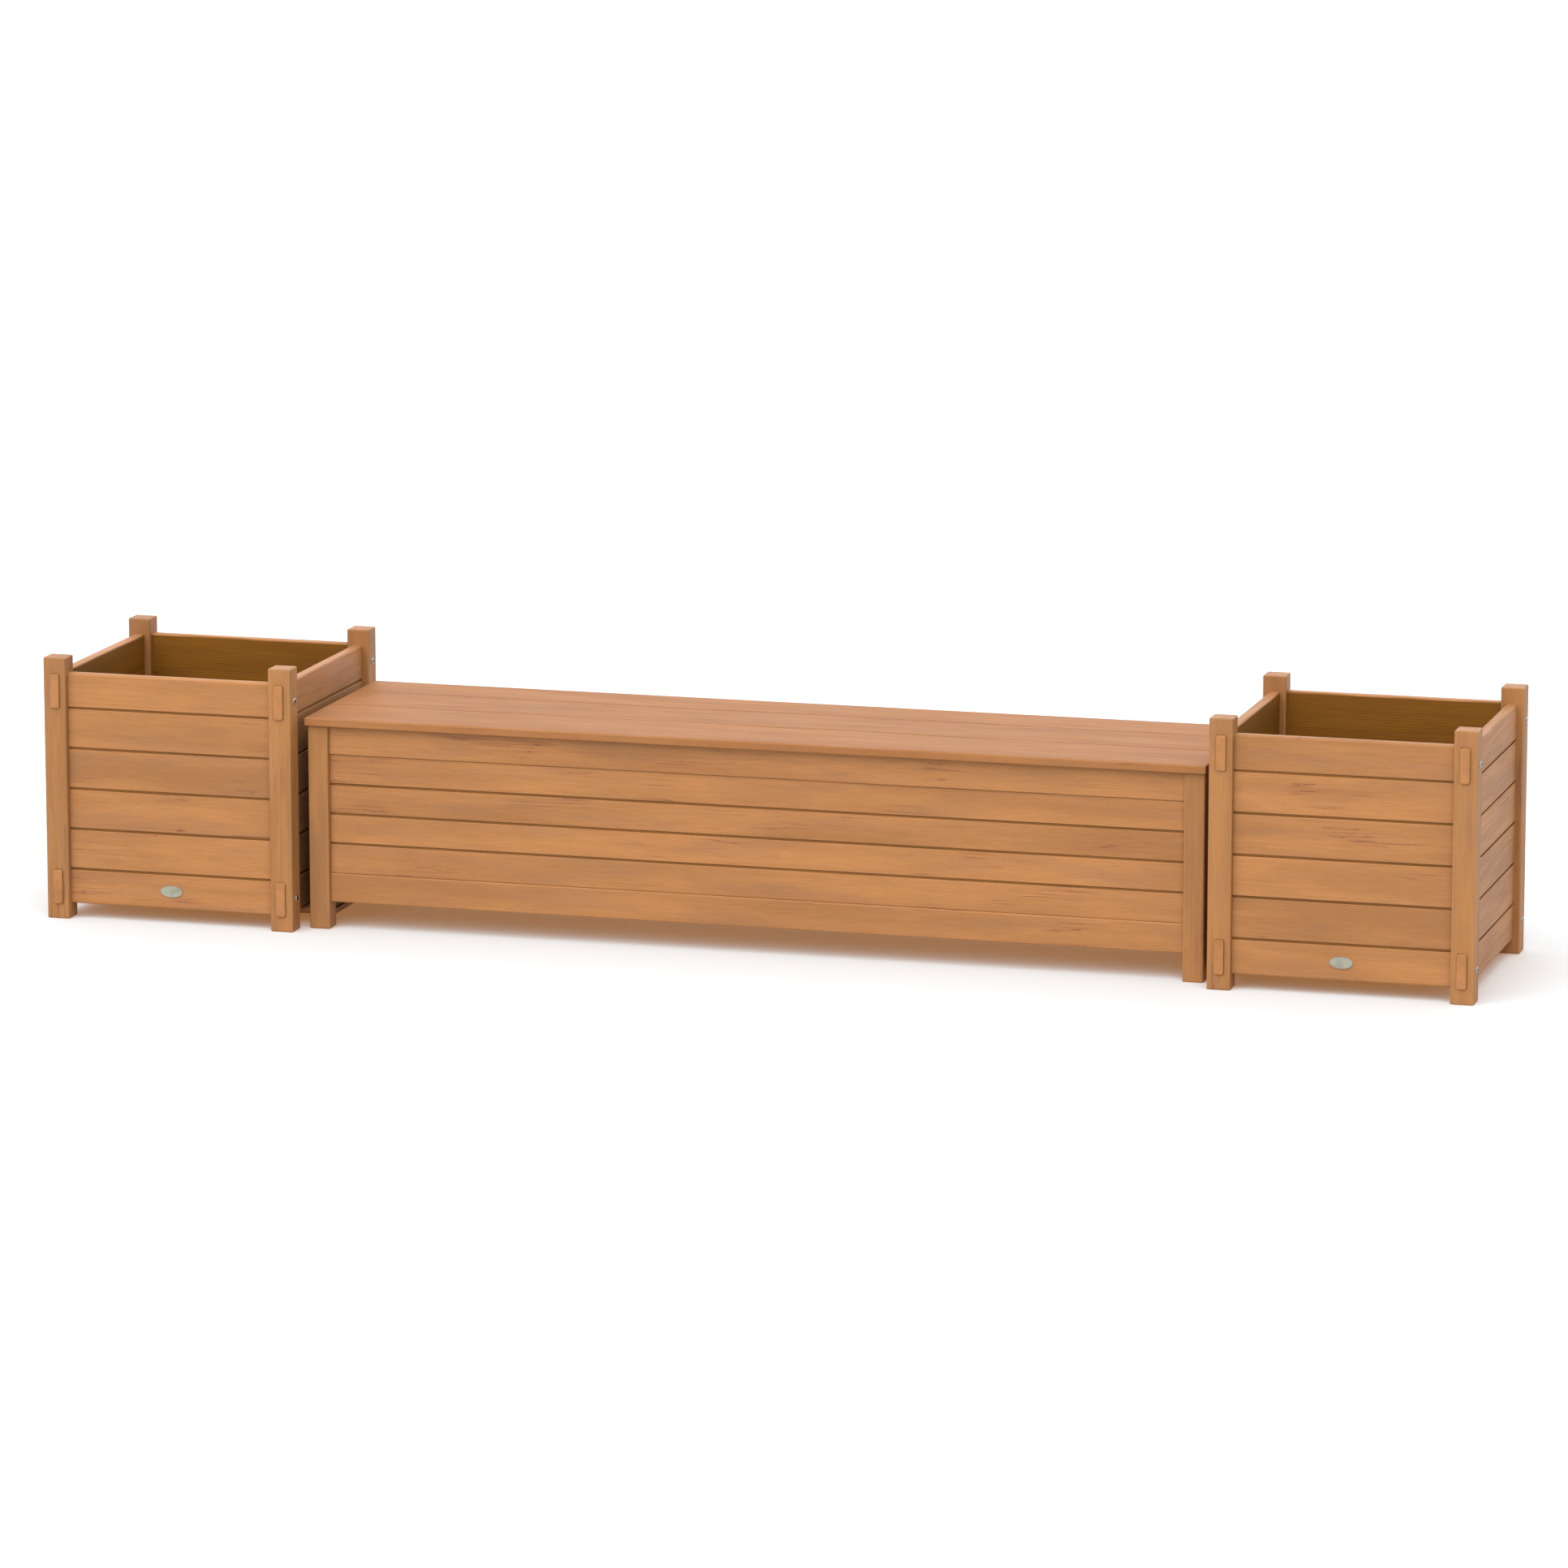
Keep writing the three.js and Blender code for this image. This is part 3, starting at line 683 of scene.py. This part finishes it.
wall = {  # of a planter
    "edgeBoard": 0.076,  # lowest and highest board
    "middleBoards": 4,
    "gap": 0.0052,  # open joint between two boards on the outside
    "tight": 0.0002,  # half of the same joint on the inside
    "edge": 0.0009,  # radius of the outer edges at a joint
    "outerRound": 0.004,  # radius of the wall's lowest and highest edges
    "tongueThick": 0.013,
    "tongueReach": 0.007,  # past the open joint
    "play": 0.0005,  # between the tongue and the groove
    "small": 0.0004,  # radius of the corners within a joint
    "jointFrom": 1.2,  # a joint's surfaces start this many edge radii below the face
    "jointShade": 0.62,  # their share of the inside tint, painted shade that darkens the joints
}
slats = {  # of the bench, with the same meanings
    "count": 4,
    "gap": 0.0049,
    "tight": 0.0002,
    "edge": 0.0008,
    "outerRound": 0.0008,
    "tongueThick": 0.0095,
    "tongueReach": 0.006,
    "play": 0.0005,
    "small": 0.0004,
    "jointFrom": 1.2,
    "jointShade": 0.62,
}


def boardOutline(thick, height, tongue, groove, look, innerSide):
    # Section of a board on edge from its lower to its upper edge, with a tongue on top and a groove below.
    # The joint is open outside and tight inside; innerSide is +1 or -1.
    half, top, tight = thick / 2, height, look["gap"] / 2 - look["tight"]
    slim, wide = look["tongueThick"] / 2, look["tongueThick"] / 2 + look["play"]
    reach, deep = look["gap"] + look["tongueReach"], look["tongueReach"] + 2 * look["play"]
    edge, small, rim = look["edge"], look["small"], look["outerRound"]
    below = [(-half, 0, rim), (half, 0, rim)]
    above = [(half, top, rim), (-half, top, rim)]
    if groove:
        channel = [(-wide, 0, small), (-wide, deep, small), (wide, deep, small), (wide, -tight, small)]
        below = [(-half, 0, edge), *channel, (half, -tight, small)]
    if tongue:
        crest = [(slim, top + tight, small), (slim, top + reach, small), (-slim, top + reach, small)]
        above = [(half, top + tight, small), *crest, (-slim, top, small), (-half, top, edge)]
    outline = np.array(below + above)
    if innerSide < 0:
        outline = outline[::-1] * (-1, 1, 1)
    return filleted(outline[:, :2], outline[:, 2], fine["smallArcSteps"])


def withinJoint(shell, thick, height, atTop, atBottom, look):
    # Which points lie between the board's two faces, on an edge that meets another board
    depth, rise = shell["points"][:, 1], shell["points"][:, 2] - height / 2
    below = np.abs(depth) < thick / 2 - look["jointFrom"] * look["edge"]
    return below & np.where(rise > 0, atTop, atBottom)


def boardedWall(prefix, node, axis, heights, look, length, thick, inward, extras=None):
    # Boards edge to edge from the lowest up, each its own piece, along the middle of the node's box. Surfaces
    # within a joint get painted shade from the inside tint. Extras adds shells to the lowest and the highest
    # board.
    low, _, centre = boxOf(node)
    level = low[2]
    innerSide = axes[axis][1] @ inward
    for i, height in enumerate(heights):
        lowest, highest = i == 0, i == len(heights) - 1
        bottom = level + (0 if lowest else look["gap"] / 2)
        top = level + height - (0 if highest else look["gap"] / 2)
        outline = boardOutline(thick, top - bottom, not highest, not lowest, look, innerSide)
        seat = grainSeat()
        origin = centre - axes[axis][0] * length / 2
        origin[2] = bottom
        board = placed(carried(outline, length, 0.0), axis, origin, seat, inward)
        joint = withinJoint(board, thick, top - bottom, not highest, not lowest, look)
        # painted shade: points within a joint take a share of the inside tint, which darkens the joint
        board["inside"] = np.maximum(board["inside"], look["jointShade"] * joint)
        shells = [board]
        if extras and (lowest or highest):
            shells += extras(level + height / 2, seat)
        makePiece(f"{prefix}_board_{i + 1}", shells, "boards", [node])
        level += height


# Planters

tenon = {
    "thick": 0.021,
    "height": 0.074,
    "round": 0.005,
    "endRound": 0.0018,
    "root": 0.002,  # its overlap with the board
    "play": 0.0005,
}


def tenonsAt(x, reach, rootAt):
    # The two ends of a side wall's board that go through the posts
    def tenons(level, seat):
        outline = rectangle(tenon["thick"], tenon["height"], tenon["round"])
        length = reach - rootAt + tenon["root"]
        shells = []
        for start in (-reach, rootAt - tenon["root"]):
            shell = carried(outline, length, tenon["endRound"])
            shells.append(placed(shell, "y", (x, start, level), seat, calm=True))
        return shells

    return tenons


def tenonCutter(x, y, level, reach):
    # A block a little larger than the tenon, as far as the reach on both sides of the post's middle
    width, height = tenon["thick"] + 2 * tenon["play"], tenon["height"] + 2 * tenon["play"]
    shell = carried(rectangle(width, height, tenon["round"]), 2 * reach, 0.0, fine["cutStride"])
    return placed(shell, "y", (x, y - reach, level), grainSeat())


bolt = {
    "radius": 0.007,
    "proud": 0.003,
    "rim": 0.0008,  # height of the straight rim below the dome
    "socket": 0.0037,  # across the hexagon's corners, halved
    "socketFloor": 0.3,  # radius of the floor's inner ring, in socket radii
    "socketLip": 0.0001,  # from the dome's edge down to the socket's wall
    "domeFrom": 1.12,  # the dome's inner radius, in socket radii
    "domeSteps": 8,
    "deep": 0.002,
    "around": 48,
}


def boltHead(side, place):
    # Button head: rings about its axis from the socket's floor, up its hexagonal wall, over the dome and
    # down the rim. A ring's distance from the axis is its radius, and on the hexagon that is multiplied by
    # cos(30)/cos(a mod 60 - 30).
    angle = np.linspace(0, 2 * np.pi, bolt["around"], endpoint=False)
    hexagon = math.cos(math.pi / 6) / np.cos(np.mod(angle, math.pi / 3) - math.pi / 6)
    dome = np.linspace(0, np.pi / 2, bolt["domeSteps"] + 1)[::-1]
    rise = bolt["proud"] - bolt["rim"]
    socket = bolt["socket"]
    inner = socket * bolt["domeFrom"]
    domeRadius = inner + (bolt["radius"] - inner) * np.cos(dome)
    domeHeight = bolt["rim"] + rise * np.sqrt(np.clip(1 - (domeRadius / bolt["radius"]) ** 2, 0, 1))
    floorLevel, wallTop = domeHeight[0] - bolt["deep"], domeHeight[0] - bolt["socketLip"]
    radius = np.concatenate([[socket * bolt["socketFloor"], socket, socket], domeRadius, [bolt["radius"]]])
    height = np.concatenate([[floorLevel, floorLevel, wallTop], domeHeight, [0.0]])
    # 1 on the socket's rings, which also get painted shade in their colour
    shadedSocket = np.concatenate([[1, 1, 1], np.zeros(len(domeRadius) + 1)])[:, None]
    ring = radius[:, None] * (shadedSocket * hexagon + 1 - shadedSocket)
    across = np.stack([ring * np.cos(angle), ring * np.sin(angle)], -1)
    grid = np.concatenate([np.broadcast_to(height[:, None, None], ring.shape + (1,)), across], -1)
    rows, columns = ring.shape
    polygons = ringFaces(rows, columns, flip=True)
    if side < 0:
        polygons = [face[::-1] for face in polygons]
    return {
        "world": grid.reshape(-1, 3) * (side, 1, 1) + place,
        "faces": polygons,
        "shadedSocket": np.repeat(shadedSocket.ravel(), columns).astype(np.float32),
    }


plate = {
    "rim": 0.0012,
    "lip": 0.0003,
    "edge": 0.0005,
    "middle": 0.7,  # inset of the innermost oval, in half heights
    "crest": 0.85,  # inset of the inner edge of the lip's crest, in rims
    "bend": 0.3,  # inset and depth of the bend at the outer edge, in edges
    "around": 96,
}


def ovalPlate(node):
    # An oval plate with a low lip: rings from the middle out, each the outer oval drawn in by an inset
    low, high, middle = boxOf(node)
    halfWidth, halfHeight, thick = (high[0] - low[0]) / 2, (high[2] - low[2]) / 2, high[1] - low[1]
    angle = np.linspace(0, 2 * np.pi, plate["around"], endpoint=False)
    rim, edge, lip = plate["rim"], plate["edge"], plate["lip"]
    innermost, crest, bend = plate["middle"] * halfHeight, plate["crest"] * rim, plate["bend"] * edge
    inset = np.array([innermost, 2 * rim, rim, crest, edge, bend, 0.0, 0.0])
    front = thick - np.array([lip, lip, lip, 0.0, 0.0, bend, edge, thick])
    x = (halfWidth - inset)[:, None] * np.cos(angle)
    z = (halfHeight - inset)[:, None] * np.sin(angle)
    y = np.broadcast_to(high[1] - front[:, None], x.shape)
    grid = np.stack([middle[0] + x, y, middle[2] + z], -1)
    return {"world": grid.reshape(-1, 3), "faces": ringFaces(*x.shape, flip=True)}


def wallSizes(unit):
    # Length and thickness of a planter's walls, their boards' heights and the levels of the tenons
    low, high, _ = boxOf(f"{unit}_wall_front")
    middle = (high[2] - low[2] - 2 * wall["edgeBoard"]) / wall["middleBoards"]
    heights = [wall["edgeBoard"]] + [middle] * wall["middleBoards"] + [wall["edgeBoard"]]
    levels = (low[2] + wall["edgeBoard"] / 2, high[2] - wall["edgeBoard"] / 2)
    return high[0] - low[0], high[1] - low[1], heights, levels


post = {"round": 0.0035, "endRound": 0.0028}
floorCleat = {"round": 0.0015, "endRound": 0.001}


def buildPost(unit, side, sx, face, levels):
    # A corner post with the mortises for its tenons, and its two bolt heads. The node's box is wider than
    # the post by the bolt heads on its outer face.
    node = f"{unit}_post_{face}_{side}"
    low, high, centre = boxOf(node)
    size = high[1] - low[1]
    inner = high[0] if sx < 0 else low[0]
    origin = np.array([inner + sx * size / 2, centre[1], low[2]])
    seat = grainSeat()
    shell = carried(rectangle(size, size, post["round"]), high[2] - low[2], post["endRound"])
    shell = placed(shell, "z", origin, seat)
    piece = makePiece(f"{node}_fine", [shell], "posts", [node])
    wallX = boxOf(f"{unit}_wall_{side}")[2][0]
    cutOut(piece, [tenonCutter(wallX, centre[1], level, size) for level in levels], "z", origin, seat)
    wallY = boxOf(f"{unit}_wall_{face}")[2][1]
    for name, level in zip(("low", "high"), levels):
        head = boltHead(sx, (inner + sx * size, wallY, level))
        makePiece(f"{unit}_bolt_{face}_{side}_{name}", [head], "bolt")


def buildPlanter(unit):
    # Front and back walls, side walls with their tenons, posts, floor cleats and the oval plate
    length, thick, heights, levels = wallSizes(unit)
    for face, sy in faces:
        node = f"{unit}_wall_{face}"
        boardedWall(f"{unit}_{face}", node, "x", heights, wall, length, thick, (0, -sy, 0))
    for side, sx in sides:
        node = f"{unit}_wall_{side}"
        _, high, centre = boxOf(node)
        tenons = tenonsAt(centre[0], high[1], length / 2)
        boardedWall(f"{unit}_{side}", node, "y", heights, wall, length, thick, (-sx, 0, 0), tenons)
    for side, sx in sides:
        for face, _ in faces:
            buildPost(unit, side, sx, face, levels)
        addBar(f"{unit}_floor_cleat_{side}", "y", floorCleat, "inner")
    badge = f"{unit}_plate"
    makePiece(f"{badge}_fine", [ovalPlate(badge)], "plate", [badge])


for unit in units:
    buildPlanter(unit)
    print("built", unit)

# Bench

leaf = {
    "thick": 0.0025,
    "play": 0.0005,
    "past": 0.01,  # how far its pocket is cut past the board's edge, with the play taken off
    "corner": 0.0002,
}
rail = {"round": 0.003, "endRound": 0.0}
benchPost = {"round": 0.0035, "endRound": 0.0025}
plain = {"round": 0.0018, "endRound": 0.0012}
floorPlanks = 4


def leafPockets(edgeY, level, body):
    # Blocks that cut the pockets of a body's hinge leaves into a board whose face is at the given level
    cutters = []
    play = leaf["play"]
    for place in places:
        low, high, _ = boxOf(f"hinge_{body}_leaf_{place}")
        width = high[0] - low[0] + 2 * play
        depth = edgeY - low[1] + leaf["past"]
        outline = rectangle(depth, 2 * (leaf["thick"] + play), leaf["corner"])
        origin = (low[0] - play, low[1] - play + depth / 2, level)
        cutters.append(placed(carried(outline, width, 0.0, fine["cutStride"]), "x", origin, grainSeat()))
    return cutters


def buildRail(level, face):
    # A rail; the back one at the top has the pockets of the hinge leaves
    node = f"bench_{level}_rail_{face}"
    low, high, _ = boxOf(node)
    outline = rectangle(high[1] - low[1], high[2] - low[2], rail["round"])
    piece, origin, seat = addPlank(node, outline, rail["endRound"], "boards")
    if (level, face) == ("top", "back"):
        cutOut(piece, leafPockets(high[1], high[2], "frame"), "x", origin, seat)


def buildBench():
    # Posts, rails and slats of the front and the back, and the boarded ends
    for side, _ in sides:
        for face, _ in faces:
            addBar(f"bench_post_{face}_{side}", "z", benchPost, "posts")
    for face, sy in faces:
        for level in ("bottom", "top"):
            buildRail(level, face)
        node = f"bench_slats_{face}"
        low, high, _ = boxOf(node)
        heights = [(high[2] - low[2]) / slats["count"]] * slats["count"]
        length, thick = high[0] - low[0], high[1] - low[1]
        boardedWall(f"bench_{face}", node, "x", heights, slats, length, thick, (0, -sy, 0))
    railLow, railHigh, _ = boxOf("bench_bottom_rail_front")
    railHeight = railHigh[2] - railLow[2]
    for side, sx in sides:
        node = f"bench_end_{side}"
        low, high, _ = boxOf(node)
        slat = (high[2] - railHigh[2] - railHeight) / slats["count"]
        heights = [railHigh[2] - low[2]] + [slat] * slats["count"] + [railHeight]
        length, thick = high[1] - low[1], high[0] - low[0]
        boardedWall(f"bench_{side}_end", node, "y", heights, slats, length, thick, (-sx, 0, 0))


def buildInside():
    # Floor planks, their bearers, and the boards that link the bench to the planters
    for i in range(floorPlanks):
        addBar(f"bench_floor_plank_{i + 1}", "x", plain, "inner")
    for place in places:
        addBar(f"bench_floor_bearer_{place}", "y", plain, "inner")
    for side, _ in sides:
        addBar(f"link_board_{side}", "x", plain, "posts")


lidBoard = {
    "outer": 0.003,  # edge radius at the lid's rim
    "inner": 0.0007,  # and at a joint
    "drawnIn": 0.0008,  # how far an edge at a joint stays inside the board's box
    "endRound": 0.0024,
    "shade": -1.6,  # painted shade that darkens a joint's edges, in shares of the wear that makes edges paler
}
lidJoints = {"front": (False, True), "middle": (True, True), "back": (True, False)}  # at front, at back


def lidOutline(width, thick, atFront, atBack):
    # Section of a lid board. Edges at a joint are drawn in, sharper and darkened a little by painted shade.
    x, z, look = width / 2, thick / 2, lidBoard
    front, back = (look["drawnIn"] if joint else 0.0 for joint in (atFront, atBack))
    frontRound, backRound = (look["inner"] if joint else look["outer"] for joint in (atFront, atBack))
    corners = [(-x + front, -z), (x - back, -z), (x - back, z), (-x + front, z)]
    points, normals, edges = filleted(corners, [frontRound, backRound, backRound, frontRound])
    shade = (atFront & (points[:, 0] < 0)) | (atBack & (points[:, 0] > 0))
    return points, normals, np.where(shade, look["shade"] * edges, edges)


def buildLid():
    # Three boards and the battens below them
    for place, (atFront, atBack) in lidJoints.items():
        node = f"lid_board_{place}"
        low, high, _ = boxOf(node)
        outline = lidOutline(high[1] - low[1], high[2] - low[2], atFront, atBack)
        piece, origin, seat = addPlank(node, outline, lidBoard["endRound"], "lid", "lid")
        if place == "back":
            cutOut(piece, leafPockets(high[1], low[2], "lid"), "x", origin, seat)
    for place in places:
        addBar(f"lid_batten_{place}", "y", plain, "inner", "lid")


buildBench()
buildInside()
buildLid()
print("built the bench")

# Hinges and planter floors keep their CAD shape and get a finish
for name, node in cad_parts.items():
    if name.startswith("hinge"):
        finish, slot = "hinge", "hinge_steel"
    elif name.endswith("_floor"):
        finish, slot = "panel", "inner_wood"
    else:
        continue
    node.data.materials.clear()
    node.data.materials.append(materials[finish])
